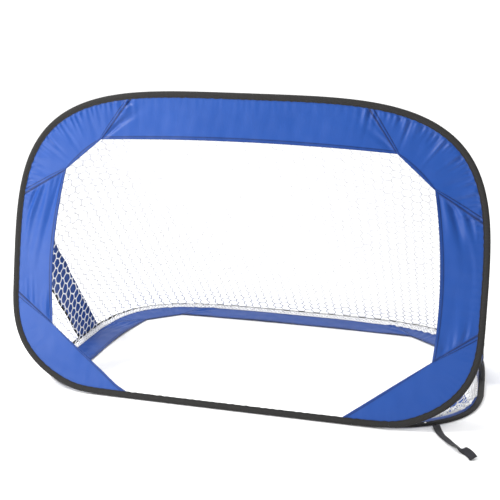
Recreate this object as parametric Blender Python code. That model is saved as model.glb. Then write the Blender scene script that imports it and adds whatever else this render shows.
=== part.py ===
"""Pop up goal for garden football games, modelled in metres with +Z up.

Two loops of sprung steel wire run inside black binding tape. The front loop stands up and
leans back a little, and frames the goal's mouth. The ground loop lies flat behind it. They
are sewn to each other along one straight run at the bottom of the mouth, which is the fold.
Blue cloth panels border both loops, a white net joins them behind the mouth, and a blue
brace strap on each side stops the front loop from opening further.

The origin is under the middle of the ground loop's straight run, on the ground. +X points
right as a player facing the mouth sees it, and +Y points into the goal.
"""

import math

import bmesh
import bpy
from mathutils import Matrix, Vector

# Outline of a loop: a superellipse, squarer above its widest line than below it, whose
# lowest part is replaced by a straight run.
LOOP_WIDTH = 1.200
WIDEST_HEIGHT = 0.270
CROWN_RISE = 0.510
FOOT_DROP = 0.310
CROWN_POWER = 3.85
FOOT_POWER = 2.85
RUN_BLEND = 0.012
OUTLINE_POINTS = 1440
RING_STEPS = 84
RUN_STEPS = 13

# How the loops stand.
FRONT_LEAN = math.radians(10.35)
FRONT_RISE = 0.0006
GROUND_WIDTH_SCALE = 0.983
GROUND_SWAY = 0.018
SWAY_REACH = 0.25

# Wire, its crimped ferrule, and the binding tape folded round them.
WIRE_RADIUS = 0.00175
WIRE_INSET = 0.0046
FERRULE_INNER = 0.00205
FERRULE_OUTER = 0.0026
FERRULE_LENGTH = 0.045
FERRULE_OFFSET = 0.15
BINDING_WIDTH = 0.016
BINDING_HALF = 0.004
BINDING_PROFILE = (
    (BINDING_WIDTH, 0.0018), (0.0080, BINDING_HALF), (0.0020, BINDING_HALF), (0.0, 0.0016),
    (0.0, -0.0016), (0.0020, -BINDING_HALF), (0.0080, -BINDING_HALF), (BINDING_WIDTH, -0.0018),
    (BINDING_WIDTH, -0.0009), (0.0076, -0.0031), (0.0022, -0.0031), (0.0009, -0.0014),
    (0.0009, 0.0014), (0.0022, 0.0031), (0.0076, 0.0031), (BINDING_WIDTH, 0.0009),
)

# Gaps between pieces that touch.
GAP = 0.0003
TAPE_THICKNESS = 0.0009
RUN_HALF = 0.395

# Border panels. Seams start at these angles of the superellipse on the outer edge, and end
# at these corners of the eight-sided opening, given as half-width and height.
PANEL_THICKNESS = 0.0008
PANEL_INSET = 0.0085
SEAM_LOW = -0.9
SEAM_HIGH = 12.5
SEAM_TOP = 75.4
PANEL_FOOT = -56.5
OPENING_FOOT = (0.2754, 0.0125)
OPENING_LOW = (0.484, 0.172)
OPENING_WAIST = (0.490, 0.330)
OPENING_HIGH = (0.463, 0.573)
OPENING_TOP = (0.371, 0.652)
OPENING_CROWN = (0.0, 0.662)

# Net, its hems, and the brace straps.
NET_THICKNESS = 0.0012
NET_INSET = 0.023
NET_START = -39.0
NET_SEAM = 45.0
HEM_INNER = 0.030
HEM_OUTER = 0.017
HEM_START = -47.0
FRONT_HEM_TOP = 0.0022
GROUND_HEM_TOP = 0.0060
HEM_BASE = 0.0008
BRACE_THICKNESS = 0.0008
BRACE_INSET = 0.008
BRACE_BINDING_LOW = 0.0720  # distances on the lying loop, behind its widest point
BRACE_LOW = 0.0805
BRACE_HIGH = 0.2020
BRACE_RISE = 0.058  # how much further along its loop the standing end is

# Tether strap: its middle line, with the turn of the webbing about that line in degrees.
TETHER_WIDTH = 0.019
TETHER_THICKNESS = 0.0014
TETHER_HEM_THICKNESS = 0.0030
TETHER_HEM_START = 0.72
TETHER_ROUTE = (
    ((0.5022, 0.0366, 0.0046), 0.0),
    ((0.5055, 0.0244, 0.0036), -4.0),
    ((0.5105, 0.0085, 0.0026), -6.0),
    ((0.5182, -0.0105, 0.0024), -6.0),
    ((0.5300, -0.0290, 0.0026), -6.0),
    ((0.5406, -0.0457, 0.0030), -10.0),
    ((0.5517, -0.0610, 0.0046), -20.0),
    ((0.5612, -0.0745, 0.0066), -30.0),
    ((0.5690, -0.0840, 0.0078), 10.0),
    ((0.5775, -0.0905, 0.0080), 46.0),
    ((0.5870, -0.1020, 0.0078), 38.0),
    ((0.5954, -0.1169, 0.0062), 26.0),
)
TETHER_STEPS = 4
RIVET_RADIUS = 0.0026
RIVET_HEIGHT = 0.0012
RIVET_ANGLE = -42.6
RIVET_INSET = 0.005

# Colours as linear RGB, with roughness and metallic.
BLUE_CLOTH = ("blue_cloth", (0.048, 0.118, 0.430), 0.55, 0.0)
BLACK_TAPE = ("black_tape", (0.030, 0.030, 0.033), 0.80, 0.0)
WHITE_NET = ("white_net", (0.860, 0.860, 0.870), 0.75, 0.0)
SPRING_STEEL = ("spring_steel", (0.420, 0.430, 0.450), 0.35, 1.0)
NICKEL = ("nickel", (0.700, 0.690, 0.660), 0.25, 1.0)


def outline_points():
    """The outer edge as (u, v), anticlockwise from the middle of the straight run."""
    points = []
    for i in range(OUTLINE_POINTS):
        angle = -math.pi / 2 + 2 * math.pi * i / OUTLINE_POINTS
        c, s = math.cos(angle), math.sin(angle)
        power = CROWN_POWER if s >= 0 else FOOT_POWER
        reach = CROWN_RISE if s >= 0 else FOOT_DROP
        u = LOOP_WIDTH / 2 * math.copysign(abs(c) ** (2 / power), c)
        v = WIDEST_HEIGHT + reach * math.copysign(abs(s) ** (2 / power), s)
        points.append(Vector((u, (v + math.hypot(v, RUN_BLEND)) / 2)))
    return points


OUTLINE = outline_points()
LENGTHS = [0.0]
for index in range(OUTLINE_POINTS):
    side = OUTLINE[(index + 1) % OUTLINE_POINTS] - OUTLINE[index]
    LENGTHS.append(LENGTHS[-1] + side.length)
PERIMETER = LENGTHS[-1]


def distance_at(angle):
    """Distance along the outer edge, from the middle of the run, to an angle in degrees."""
    return LENGTHS[round((angle + 90) / 360 * OUTLINE_POINTS) % OUTLINE_POINTS]


def edge_point(distance, inset):
    """The point (u, v) at a distance along the outer edge, moved inwards by inset."""
    distance %= PERIMETER
    low, high = 0, OUTLINE_POINTS
    while high - low > 1:
        middle = (low + high) // 2
        if LENGTHS[middle] <= distance:
            low = middle
        else:
            high = middle
    here, after = OUTLINE[low], OUTLINE[(low + 1) % OUTLINE_POINTS]
    before, beyond = OUTLINE[low - 1], OUTLINE[(low + 2) % OUTLINE_POINTS]
    share = (distance - LENGTHS[low]) / (LENGTHS[low + 1] - LENGTHS[low])
    along = (after - before).normalized().lerp((beyond - here).normalized(), share).normalized()
    return here.lerp(after, share) + inset * Vector((-along.y, along.x))


class Loop:
    """A loop's plane: u along the straight run, v away from it, w towards the other loop."""

    def __init__(self, origin, v_axis, w_axis, width_scale, sway):
        self.origin, self.v_axis, self.w_axis = Vector(origin), Vector(v_axis), Vector(w_axis)
        self.width_scale, self.sway = width_scale, sway

    def place(self, point, w):
        across = point[0] * self.width_scale + self.sway * min(1.0, max(0.0, point[1] / SWAY_REACH))
        return self.origin + Vector((across, 0, 0)) + self.v_axis * point[1] + self.w_axis * w


GROUND_FRONT = -0.005
TAPE_FRONT = GROUND_FRONT - GAP - TAPE_THICKNESS
HINGE_HEIGHT = 2 * BINDING_HALF + GAP
FRONT_BACK = TAPE_FRONT - GAP
lean_v = Vector((0, math.sin(FRONT_LEAN), math.cos(FRONT_LEAN)))
lean_w = Vector((0, math.cos(FRONT_LEAN), -math.sin(FRONT_LEAN)))
# The front binding's back face meets the hinge tape at the hinge's height.
front_y = FRONT_BACK - BINDING_HALF / lean_w.y - (HINGE_HEIGHT - FRONT_RISE) * math.tan(FRONT_LEAN)
FRONT = Loop((0, front_y, FRONT_RISE), lean_v, lean_w, 1.0, 0.0)
GROUND = Loop((0, GROUND_FRONT, BINDING_HALF), (0, 1, 0), (0, 0, 1), GROUND_WIDTH_SCALE, GROUND_SWAY)
FOLD_HINGE = Vector((0, FRONT_BACK, HINGE_HEIGHT))
TETHER_ROOT = Vector(TETHER_ROUTE[0][0])


def clear_scene():
    for thing in list(bpy.data.objects):
        bpy.data.objects.remove(thing, do_unlink=True)


def make_material(finish):
    name, colour, roughness, metallic = finish
    material = bpy.data.materials.new(name)
    material.use_nodes = True
    shader = material.node_tree.nodes["Principled BSDF"]
    shader.inputs["Base Color"].default_value = (*colour, 1.0)
    shader.inputs["Roughness"].default_value = roughness
    shader.inputs["Metallic"].default_value = metallic
    return material


def make_empty(name, place):
    empty = bpy.data.objects.new(name, None)
    empty.location = place
    empty.empty_display_size = 0.05
    bpy.context.scene.collection.objects.link(empty)
    return empty


def add_object(name, points, faces, finish, body):
    """A named object from points in the goal's frame, parented to the empty of its body."""
    mesh = bpy.data.meshes.new(name)
    mesh.from_pydata([point - body.location for point in points], [], faces)
    shell = bmesh.new()
    shell.from_mesh(mesh)
    bmesh.ops.recalc_face_normals(shell, faces=shell.faces)
    shell.to_mesh(mesh)
    shell.free()
    mesh.materials.append(make_material(finish))
    mesh.shade_smooth()
    mesh.set_sharp_from_angle(angle=math.radians(35))
    thing = bpy.data.objects.new(name, mesh)
    thing.parent = body
    bpy.context.scene.collection.objects.link(thing)
    return thing


def grid_faces(row_count, length, closed_rows, closed_length):
    """Quads of a grid of points, stored row by row."""
    faces = []
    for i in range(row_count if closed_rows else row_count - 1):
        for j in range(length if closed_length else length - 1):
            after_i, after_j = (i + 1) % row_count, (j + 1) % length
            faces.append((i * length + j, i * length + after_j,
                          after_i * length + after_j, after_i * length + j))
    return faces


def add_sweep(name, loop, profile, distances, closed, finish, body):
    """A profile of (inset, w) points swept along a loop's outer edge."""
    points = [loop.place(edge_point(d, inset), w) for d in distances for inset, w in profile]
    size = len(profile)
    faces = grid_faces(len(distances), size, closed, True)
    if not closed:
        faces.append(tuple(range(size)))
        faces.append(tuple(range((len(distances) - 1) * size, len(distances) * size)))
    return add_object(name, points, faces, finish, body)


def add_cloth(name, rows, thickness, finish, body):
    """A sheet through rows of points, thickened evenly to both sides."""
    points = [point for row in rows for point in row]
    faces = grid_faces(len(rows), len(rows[0]), False, False)
    thing = add_object(name, points, faces, finish, body)
    solidify = thing.modifiers.new("thickness", "SOLIDIFY")
    solidify.thickness = thickness
    solidify.offset = 0.0
    solidify.use_even_offset = True
    return thing


def spread(start, end, count):
    return [start + (end - start) * i / (count - 1) for i in range(count)]


def ring_distances():
    return [PERIMETER * i / RING_STEPS for i in range(RING_STEPS)]


def along_polyline(corners, count, trim):
    """Evenly spread points along a polyline, trimmed by a little at both ends."""
    corners = [Vector(corner) for corner in corners]
    sides = [(b - a).length for a, b in zip(corners, corners[1:])]
    points = []
    for distance in spread(trim, sum(sides) - trim, count):
        leg = 0
        while leg < len(sides) - 1 and distance > sides[leg]:
            distance -= sides[leg]
            leg += 1
        points.append(corners[leg].lerp(corners[leg + 1], distance / sides[leg]))
    return points


def mirrored(points):
    return [Vector((-point[0], point[1])) for point in points]


def circle_profile(centre, radius, sides):
    turns = [2 * math.pi * (i + 0.5) / sides for i in range(sides)]
    return [(centre + radius * math.cos(t), radius * math.sin(t)) for t in turns]


def add_wire(prefix, loop, body):
    profile = circle_profile(WIRE_INSET, WIRE_RADIUS, 6)
    add_sweep(prefix + "_wire", loop, profile, ring_distances(), True, SPRING_STEEL, body)


def add_ferrule(prefix, loop, distance, body):
    """The crimped tube that joins the wire's two ends, on the straight run."""
    ends = [loop.place(edge_point(distance + s * FERRULE_LENGTH / 2, WIRE_INSET), 0) for s in (-1, 1)]
    sides = 12
    points = []
    for i in range(sides):
        turn = 2 * math.pi * i / sides
        outwards = math.cos(turn) * loop.v_axis + math.sin(turn) * loop.w_axis
        points += [ends[0] + outwards * FERRULE_INNER, ends[0] + outwards * FERRULE_OUTER,
                   ends[1] + outwards * FERRULE_OUTER, ends[1] + outwards * FERRULE_INNER]
    add_object(prefix + "_ferrule", points, grid_faces(sides, 4, True, True), SPRING_STEEL, body)


def add_binding(prefix, loop, body):
    """Binding tape in two lengths: one along the straight run, the other round the rest."""
    lengths = (("_run_binding", spread(-RUN_HALF + GAP, RUN_HALF - GAP, RUN_STEPS)),
               ("_binding", spread(RUN_HALF, PERIMETER - RUN_HALF, RING_STEPS - RUN_STEPS)))
    for suffix, distances in lengths:
        add_sweep(prefix + suffix, loop, BINDING_PROFILE, distances, False, BLACK_TAPE, body)


def add_panel(name, loop, angles, corners, steps, flip, body):
    """A border panel between two seams: outer edge in the binding, inner edge on the opening."""
    start, end = (distance_at(angle) for angle in angles)
    outer = [edge_point(d, PANEL_INSET) for d in spread(start + GAP, end - GAP, steps)]
    inner = along_polyline(corners, steps, GAP)
    if flip:
        outer, inner = mirrored(outer), mirrored(inner)
    rows = [[loop.place(point, 0) for point in row] for row in (outer, inner)]
    add_cloth(name, rows, PANEL_THICKNESS, BLUE_CLOTH, body)


def add_border(prefix, far_name, loop, body):
    """The seven cloth panels of one loop: far, two sides and four corners."""
    far_corners = (OPENING_TOP, OPENING_CROWN, (-OPENING_TOP[0], OPENING_TOP[1]))
    far_angles = (SEAM_TOP, 180 - SEAM_TOP)
    add_panel(f"{prefix}_{far_name}_panel", loop, far_angles, far_corners, 17, False, body)
    for side, flip in (("right", False), ("left", True)):
        foot = (PANEL_FOOT, SEAM_LOW), (OPENING_FOOT, OPENING_LOW)
        add_panel(f"{prefix}_{side}_foot_corner", loop, *foot, 12, flip, body)
        waist = (SEAM_LOW, SEAM_HIGH), (OPENING_LOW, OPENING_WAIST, OPENING_HIGH)
        add_panel(f"{prefix}_{side}_panel", loop, *waist, 9, flip, body)
        crown = (SEAM_HIGH, SEAM_TOP), (OPENING_HIGH, OPENING_TOP)
        add_panel(f"{prefix}_{side}_{far_name}_corner", loop, *crown, 12, flip, body)


def add_hem(name, loop, top, body):
    """The white tape that edges the net, sewn to the border just inside the binding."""
    shoulder = (top - HEM_BASE) * 0.4
    middle = (HEM_INNER + HEM_OUTER) / 2
    profile = ((HEM_OUTER, HEM_BASE), (HEM_INNER, HEM_BASE), (HEM_INNER, top - shoulder),
               (middle, top), (HEM_OUTER, top - shoulder))
    distances = spread(distance_at(HEM_START), PERIMETER - distance_at(HEM_START), 60)
    add_sweep(name, loop, profile, distances, False, WHITE_NET, body)


def ruled_rows(distances, inset, front_lift, ground_lift, thickness, rise=0.0):
    """Two rows of points that a straight ruled sheet runs between, one at each loop."""
    half = thickness / 2
    front = [FRONT.place(edge_point(d + rise, inset), front_lift + GAP + 2 * half) for d in distances]
    ground = [GROUND.place(edge_point(d, inset), ground_lift + GAP + 2 * half) for d in distances]
    return front, ground


def add_net(name, start, end, steps, body):
    distances = spread(start + GAP, end - GAP, steps)
    rows = ruled_rows(distances, NET_INSET, FRONT_HEM_TOP, GROUND_HEM_TOP, NET_THICKNESS)
    add_cloth(name, rows, NET_THICKNESS, WHITE_NET, body)


def add_nets(body):
    start, seam = distance_at(NET_START), distance_at(NET_SEAM)
    add_net("right_net", start, seam, 18, body)
    add_net("rear_net", seam, PERIMETER - seam, 26, body)
    add_net("left_net", PERIMETER - seam, PERIMETER - start, 18, body)


def add_brace(side, flip, body):
    """A side strap of blue cloth from loop to loop, with black tape on its lower edge."""
    binding_low, low, high = (distance_at(0) + d for d in (BRACE_BINDING_LOW, BRACE_LOW, BRACE_HIGH))
    pieces = ((f"{side}_brace_strap", low + GAP, high, 6, BLUE_CLOTH),
              (f"{side}_brace_binding", binding_low, low - GAP, 2, BLACK_TAPE))
    for name, start, end, steps, finish in pieces:
        distances = spread(start, end, steps)
        if flip:
            distances = [PERIMETER - d for d in distances]
        rise = -BRACE_RISE if flip else BRACE_RISE
        rows = ruled_rows(distances, BRACE_INSET, BINDING_HALF, BINDING_HALF, BRACE_THICKNESS, rise)
        add_cloth(name, rows, BRACE_THICKNESS, finish, body)


def add_hinge_tape(body):
    """The tape that the two bindings are sewn to, upright between their straight runs."""
    y = TAPE_FRONT + TAPE_THICKNESS / 2
    rows = [[Vector((x, y, z)) for x in (-RUN_HALF, RUN_HALF)]
            for z in (GAP, HINGE_HEIGHT - GAP)]
    add_cloth("hinge_tape", rows, TAPE_THICKNESS, BLACK_TAPE, body)


def smooth_route():
    """Points and turns along the tether, on a Catmull-Rom curve through its route."""
    knots = [(Vector(point), math.radians(turn)) for point, turn in TETHER_ROUTE]
    knots = [knots[0]] + knots + [knots[-1]]
    route = []
    for (p0, t0), (p1, t1), (p2, t2), (p3, t3) in zip(knots, knots[1:], knots[2:], knots[3:]):
        for i in range(TETHER_STEPS):
            s = i / TETHER_STEPS
            weights = (-s + 2 * s**2 - s**3, 2 - 5 * s**2 + 3 * s**3,
                       s + 4 * s**2 - 3 * s**3, -(s**2) + s**3)
            point = sum((w * p for w, p in zip(weights, (p0, p1, p2, p3))), Vector()) / 2
            turn = sum(w * t for w, t in zip(weights, (t0, t1, t2, t3))) / 2
            route.append((point, turn))
    route.append(knots[-1])
    return route


def add_tether(body):
    """Flat webbing sewn into the ground binding, with one twist and a doubled end."""
    route = smooth_route()
    points = []
    for i, (middle, turn) in enumerate(route):
        along = route[min(i + 1, len(route) - 1)][0] - route[max(i - 1, 0)][0]
        across = along.cross(Vector((0, 0, 1))).normalized()
        across = Matrix.Rotation(turn, 3, along) @ across
        up = across.cross(along).normalized()
        doubled = i / (len(route) - 1) >= TETHER_HEM_START
        half = (TETHER_HEM_THICKNESS if doubled else TETHER_THICKNESS) / 2
        for a, b in ((-1, -1), (1, -1), (1, 1), (-1, 1)):
            points.append(middle + a * TETHER_WIDTH / 2 * across + b * half * up)
    faces = grid_faces(len(route), 4, False, True)
    faces.append((0, 1, 2, 3))
    faces.append(tuple(range(len(points) - 4, len(points))))
    add_object("tether_strap", points, faces, BLACK_TAPE, body)


def add_rivet(body):
    """The rivet that holds the tether's sewn end in the ground binding."""
    shell = bmesh.new()
    bmesh.ops.create_cone(shell, cap_ends=True, segments=16, radius1=RIVET_RADIUS,
                          radius2=RIVET_RADIUS * 0.75, depth=RIVET_HEIGHT)
    place = GROUND.place(edge_point(distance_at(RIVET_ANGLE), RIVET_INSET),
                         BINDING_HALF + GAP + RIVET_HEIGHT / 2)
    points = [vertex.co + place for vertex in shell.verts]
    faces = [tuple(vertex.index for vertex in face.verts) for face in shell.faces]
    shell.free()
    add_object("tether_rivet", points, faces, NICKEL, body)


def build():
    clear_scene()
    ground = make_empty("ground_frame", (0, 0, 0))
    front = make_empty("front_fold", FOLD_HINGE)
    tether = make_empty("tether_root", TETHER_ROOT)
    for prefix, far_name, loop, body in (("front", "top", FRONT, front),
                                         ("ground", "rear", GROUND, ground)):
        add_wire(prefix, loop, body)
        add_binding(prefix, loop, body)
        add_border(prefix, far_name, loop, body)
    add_ferrule("front", FRONT, FERRULE_OFFSET, front)
    add_ferrule("ground", GROUND, PERIMETER - FERRULE_OFFSET, ground)
    add_hem("front_net_hem", FRONT, FRONT_HEM_TOP, front)
    add_hem("ground_net_hem", GROUND, GROUND_HEM_TOP, ground)
    add_nets(ground)
    add_brace("right", False, ground)
    add_brace("left", True, ground)
    add_hinge_tape(ground)
    add_tether(tether)
    add_rivet(ground)


build()
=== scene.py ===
"""Looks of the pop up goal: cloth, tape, net, webbing, floor, light and camera.

Everything is in the goal's own frame, in metres: the origin is under the middle of the lying
loop's straight run, +X points right as a player facing the mouth sees it, +Y points into the
goal and +Z up. Points in a loop's plane are (u, v): u along the straight run, v away from it.
"""

import math

import bpy
import numpy as np
from mathutils import Matrix, Vector
from mathutils.kdtree import KDTree


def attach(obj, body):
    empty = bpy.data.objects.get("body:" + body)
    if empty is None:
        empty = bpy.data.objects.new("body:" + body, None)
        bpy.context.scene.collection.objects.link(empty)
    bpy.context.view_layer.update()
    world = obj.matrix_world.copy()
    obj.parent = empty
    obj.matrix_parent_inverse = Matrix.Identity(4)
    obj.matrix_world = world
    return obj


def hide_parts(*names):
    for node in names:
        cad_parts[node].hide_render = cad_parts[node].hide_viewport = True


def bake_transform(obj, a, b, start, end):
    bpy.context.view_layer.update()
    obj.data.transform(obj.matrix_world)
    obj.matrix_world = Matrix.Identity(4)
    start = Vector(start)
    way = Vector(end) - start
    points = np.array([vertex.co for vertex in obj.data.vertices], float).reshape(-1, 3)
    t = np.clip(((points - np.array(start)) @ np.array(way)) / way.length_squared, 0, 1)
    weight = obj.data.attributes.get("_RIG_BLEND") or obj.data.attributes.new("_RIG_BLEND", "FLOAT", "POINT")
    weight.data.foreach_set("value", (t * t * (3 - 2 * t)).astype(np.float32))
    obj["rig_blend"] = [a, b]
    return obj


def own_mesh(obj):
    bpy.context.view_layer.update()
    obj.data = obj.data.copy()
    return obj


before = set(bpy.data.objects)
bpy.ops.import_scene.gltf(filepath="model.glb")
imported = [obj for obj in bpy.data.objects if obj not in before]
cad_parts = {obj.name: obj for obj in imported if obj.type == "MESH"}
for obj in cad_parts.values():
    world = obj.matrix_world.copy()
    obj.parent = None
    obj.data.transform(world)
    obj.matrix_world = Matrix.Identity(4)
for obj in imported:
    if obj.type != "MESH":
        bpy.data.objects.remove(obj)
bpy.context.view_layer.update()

# The loops' outline and planes, as in the CAD source.
LOOP_WIDTH = 1.200
WIDEST_HEIGHT = 0.270
CROWN_RISE = 0.510
FOOT_DROP = 0.310
CROWN_POWER = 3.85
FOOT_POWER = 2.85
RUN_BLEND = 0.012
OUTLINE_POINTS = 1440
FRONT_LEAN = math.radians(10.35)
FRONT_RISE = 0.0006
GROUND_WIDTH_SCALE = 0.983
GROUND_SWAY = 0.018
SWAY_REACH = 0.25
BINDING_HALF = 0.004
GAP = 0.0003
TAPE_THICKNESS = 0.0009
RUN_HALF = 0.395
GROUND_FRONT = -0.005
HINGE_HEIGHT = 2 * BINDING_HALF + GAP
TAPE_FRONT = GROUND_FRONT - GAP - TAPE_THICKNESS
FRONT_BACK = TAPE_FRONT - GAP

# Cloth borders, net, straps and tether, as in the CAD source.
PANEL_INSET = 0.0085
SEAM_LOW = -0.9
SEAM_HIGH = 12.5
SEAM_TOP = 75.4
PANEL_FOOT = -56.5
OPENING_FOOT = (0.2754, 0.0125)
OPENING_LOW = (0.484, 0.172)
OPENING_HIGH = (0.463, 0.573)
OPENING_TOP = (0.371, 0.652)
SIDE_BOW = (0.0150, 0.0004)
CROWN_BOW = 0.010
NET_INSET = 0.023
NET_START = -39.0
HEM_INNER = 0.030
HEM_OUTER = 0.017
HEM_START = -47.0
GROUND_HEM_START = -6.0
FRONT_HEM_TOP = 0.0022
GROUND_HEM_TOP = 0.0060
HEM_BASE = 0.0008
HEM_SPREAD = 0.015
BRACE_INSET = 0.008
BRACE_LOW = 0.0805
BRACE_HIGH = 0.2020
BRACE_RISE = 0.058
BRACE_LENGTH = 0.540
BRACE_TAPE_ROWS = (0.0720, 0.0727, 0.0745, 0.0775, 0.0805, 0.0811)
BRACE_TAPE_HALF = (0.0003, 0.0011, 0.0014, 0.0012, 0.0011, 0.0008)
TETHER_WIDTH = 0.019
TETHER_THICKNESS = 0.0014
TETHER_HEM_THICKNESS = 0.0030
TETHER_HEM_START = 0.72
TETHER_ROUTE = (
    ((0.5022, 0.0366, 0.0046), 0.0),
    ((0.5055, 0.0244, 0.0036), -4.0),
    ((0.5105, 0.0085, 0.0026), -6.0),
    ((0.5182, -0.0105, 0.0024), -6.0),
    ((0.5300, -0.0290, 0.0026), -6.0),
    ((0.5406, -0.0457, 0.0030), -10.0),
    ((0.5517, -0.0610, 0.0046), -20.0),
    ((0.5612, -0.0745, 0.0066), -30.0),
    ((0.5690, -0.0840, 0.0078), 10.0),
    ((0.5775, -0.0905, 0.0080), 46.0),
    ((0.5870, -0.1020, 0.0078), 38.0),
    ((0.5954, -0.1169, 0.0062), 26.0),
)
RIVET_ANGLE = -42.6
RIVET_INSET = 0.005

# Fine sizes that only the looks have.
CLOTH_HALF = 0.00022
HEM_WIDTH = 0.0088
HEM_HALF = 0.00058
HEM_STITCHES = 0.0079
HEMMED_BRACE_HALF = 0.0005
PUCKER_SPACING = (0.0095, 0.0185)
PUCKER_WIDTH = (0.0032, 0.0060)
PUCKER_HEIGHT = 0.0036
FOLDS_PER_SEAM = 6
FOLD_WIDTH = (0.0040, 0.0085)
FOLD_HEIGHT = 0.0046
CLOTH_STITCH_PITCH = 0.0036
TAPE_WALL = 0.0007
TAPE_FLAT_WIDTH = 0.036
TAPE_STITCHES = 0.0134
TAPE_STITCH_PITCH = 0.0040
MESH_PITCH = 0.025
MESH_SPACING = 0.0245
MESH_ZIGZAG = 0.0032
STRAND_HALF = 0.0016
SLACK_PITCH = 0.0132
SLACK_SPACING = 0.0104
SLACK_ZIGZAG = 0.0015
SLACK_DEPTH = 0.080
SLACK_STRAND_HALF = 0.0021
CAMERA_PLACE = (0.603, -2.119, 1.001)
CAMERA_LENS = 68.98
CAMERA_PITCH, CAMERA_YAW, CAMERA_ROLL = 0.2621, -0.2568, 0.0091


# ---- small numeric tools


def unit(v):
    return v / np.maximum(np.linalg.norm(v, axis=-1, keepdims=True), 1e-12)


def turned(way):
    """A way in a plane, turned left by a quarter."""
    return np.stack([-way[..., 1], way[..., 0]], -1)


def smooth(x):
    x = np.clip(x, 0.0, 1.0)
    return x * x * (3 - 2 * x)


def points_at(where, at, line):
    """The points at distances where, of a line whose own points are at distances at."""
    return np.stack([np.interp(where, at, line[:, i]) for i in range(3)], -1)


def ripple(x, y, size, seed):
    """Smooth uneven waves of about this size, between about -1 and 1."""
    rng = np.random.default_rng(seed)
    total = np.zeros(np.broadcast(x, y).shape)
    for _ in range(6):
        turn, phase, stretch = rng.uniform(0, 2 * math.pi, 2).tolist() + [rng.uniform(0.7, 1.5)]
        wave = 2 * math.pi * stretch / size
        total = total + np.sin(wave * (x * math.cos(turn) + y * math.sin(turn)) + phase)
    return total / 3.2


# ---- outline of a loop


def outline():
    turn = -math.pi / 2 + 2 * math.pi * np.arange(OUTLINE_POINTS) / OUTLINE_POINTS
    c, s = np.cos(turn), np.sin(turn)
    power = np.where(s >= 0, CROWN_POWER, FOOT_POWER)
    reach = np.where(s >= 0, CROWN_RISE, FOOT_DROP)
    u = LOOP_WIDTH / 2 * np.copysign(np.abs(c) ** (2 / power), c)
    v = WIDEST_HEIGHT + reach * np.copysign(np.abs(s) ** (2 / power), s)
    return np.stack([u, (v + np.hypot(v, RUN_BLEND)) / 2], 1)


EDGE = outline()
ALONG = unit(np.roll(EDGE, -1, 0) - np.roll(EDGE, 1, 0))
SIDES = np.linalg.norm(np.roll(EDGE, -1, 0) - EDGE, axis=1)
LENGTHS = np.concatenate([[0.0], np.cumsum(SIDES)])
PERIMETER = float(LENGTHS[-1])
EDGE_TREE = KDTree(OUTLINE_POINTS)
for number, place in enumerate(EDGE):
    EDGE_TREE.insert((place[0], place[1], 0.0), number)
EDGE_TREE.balance()


def distance_at(angle):
    """Distance along the outer edge, from the middle of the run, to an angle in degrees."""
    return float(LENGTHS[round((angle + 90) / 360 * OUTLINE_POINTS) % OUTLINE_POINTS])


def edge(distance, inset):
    """Points (u, v) at distances along the outer edge, moved inwards by inset."""
    distance, inset = np.broadcast_arrays(np.mod(distance, PERIMETER), inset)
    low = np.clip(np.searchsorted(LENGTHS, distance, side="right") - 1, 0, OUTLINE_POINTS - 1)
    high = (low + 1) % OUTLINE_POINTS
    share = ((distance - LENGTHS[low]) / SIDES[low])[..., None]
    along = unit(ALONG[low] * (1 - share) + ALONG[high] * share)
    return EDGE[low] * (1 - share) + EDGE[high] * share + inset[..., None] * turned(along)


def edge_coordinates(uv):
    """The distance along the outer edge and the inset from it of each point (u, v)."""
    flat = uv.reshape(-1, 2)
    near = np.array([EDGE_TREE.find((p[0], p[1], 0.0))[1] for p in flat])
    apart = flat - EDGE[near]
    along = ALONG[near]
    distance = LENGTHS[near] + (apart * along).sum(1)
    inset = -apart[:, 0] * along[:, 1] + apart[:, 1] * along[:, 0]
    return distance.reshape(uv.shape[:-1]), inset.reshape(uv.shape[:-1])


class Loop:
    """A loop's plane: u along the straight run, v away from it, w towards the other loop."""

    def __init__(self, name, body, origin, v_axis, w_axis, width_scale, sway, seed):
        self.name, self.body, self.seed = name, body, seed
        self.origin, self.v_axis, self.w_axis = map(np.array, (origin, v_axis, w_axis))
        self.width_scale, self.sway = width_scale, sway

    def place(self, uv, w):
        across = uv[..., 0] * self.width_scale
        across = across + self.sway * np.clip(uv[..., 1] / SWAY_REACH, 0.0, 1.0)
        sideways = across[..., None] * np.array([1.0, 0.0, 0.0])
        lift = np.asarray(w)[..., None] * self.w_axis
        return self.origin + sideways + uv[..., 1:2] * self.v_axis + lift


LEAN_V = (0.0, math.sin(FRONT_LEAN), math.cos(FRONT_LEAN))
LEAN_W = (0.0, math.cos(FRONT_LEAN), -math.sin(FRONT_LEAN))
FRONT_Y = FRONT_BACK - BINDING_HALF / LEAN_W[1] - (HINGE_HEIGHT - FRONT_RISE) * math.tan(FRONT_LEAN)
FRONT = Loop("front", "front_frame", (0.0, FRONT_Y, FRONT_RISE), LEAN_V, LEAN_W, 1.0, 0.0, 11)
GROUND = Loop("ground", "ground_frame", (0.0, GROUND_FRONT, BINDING_HALF), (0.0, 1.0, 0.0),
              (0.0, 0.0, 1.0), GROUND_WIDTH_SCALE, GROUND_SWAY, 47)


# ---- mesh tools


def grid_quads(rows, columns):
    corner = (np.arange(rows - 1)[:, None] * columns + np.arange(columns - 1)[None]).ravel()
    return np.stack([corner, corner + 1, corner + columns + 1, corner + columns], 1)


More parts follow.
